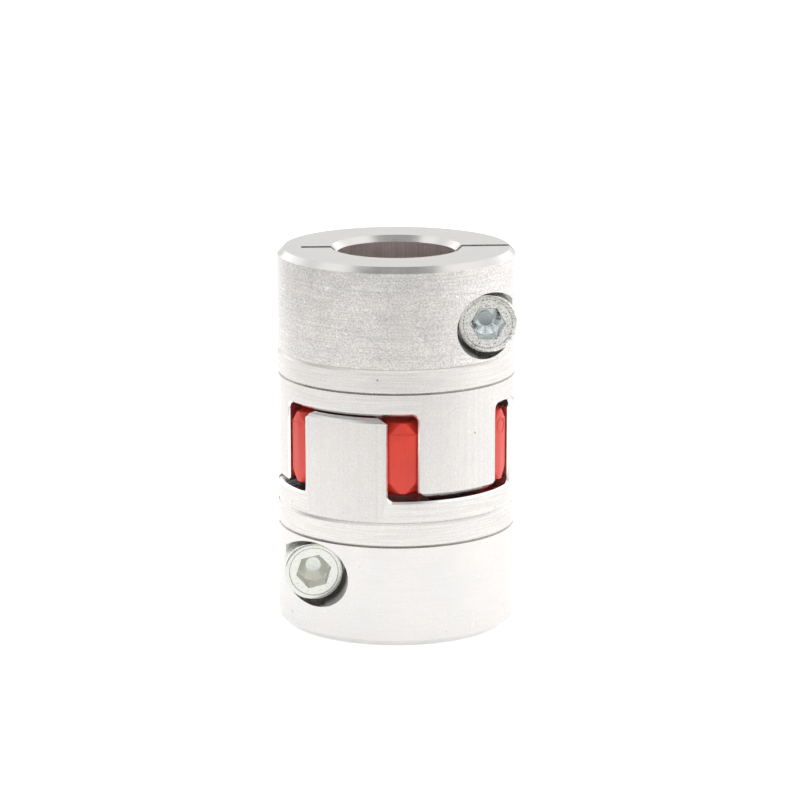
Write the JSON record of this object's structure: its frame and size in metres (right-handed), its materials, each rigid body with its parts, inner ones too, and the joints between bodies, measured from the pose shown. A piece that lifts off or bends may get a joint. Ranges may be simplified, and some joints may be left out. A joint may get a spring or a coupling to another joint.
{
  "type": "jaw coupling",
  "caption": "Backlash-free jaw coupling: matching slotted clamping hubs with through bores mesh round an elastomer star and close on their shafts with socket head screws.",
  "frame": {"origin": "on the coupling's axis in the plane of the lower hub's end face", "axes": "+Z along the coupling's axis towards the upper hub; +Y away from the screw heads; the upper hub's clamping slot opens at +X and the lower hub's at -X"},
  "size_m": [0.0402, 0.0402, 0.064],
  "materials": {
    "hub": "fine turned, bright satin",
    "spider": "moulded elastomer, semi-gloss",
    "screw": "zinc plated, bright"
  },
  "bodies": {
    "lower_hub": {"lower_clamp_hub": "hub"},
    "upper_hub": {"upper_clamp_hub": "hub"},
    "spider": {"elastomer_spider": "spider"},
    "lower_screw": {"lower_clamp_screw": "screw"},
    "upper_screw": {"upper_clamp_screw": "screw"}
  },
  "joints": [
    {"name": "spider_slide", "type": "slide", "parent": "lower_hub", "child": "spider", "axis": [0, 0, 1], "range_m": [0, 0.015]},
    {"name": "upper_hub_slide", "type": "slide", "parent": "spider", "child": "upper_hub", "axis": [0, 0, 1], "range_m": [0, 0.015]},
    {"name": "lower_screw_turn", "type": "hinge", "parent": "lower_hub", "child": "lower_screw", "pos_m": [-0.0145, -0.0062, 0.011], "axis": [0, -1, 0], "range_deg": [0, 630]},
    {"name": "upper_screw_turn", "type": "hinge", "parent": "upper_hub", "child": "upper_screw", "pos_m": [0.0145, -0.0062, 0.053], "axis": [0, -1, 0], "range_deg": [0, 630]}
  ]
}
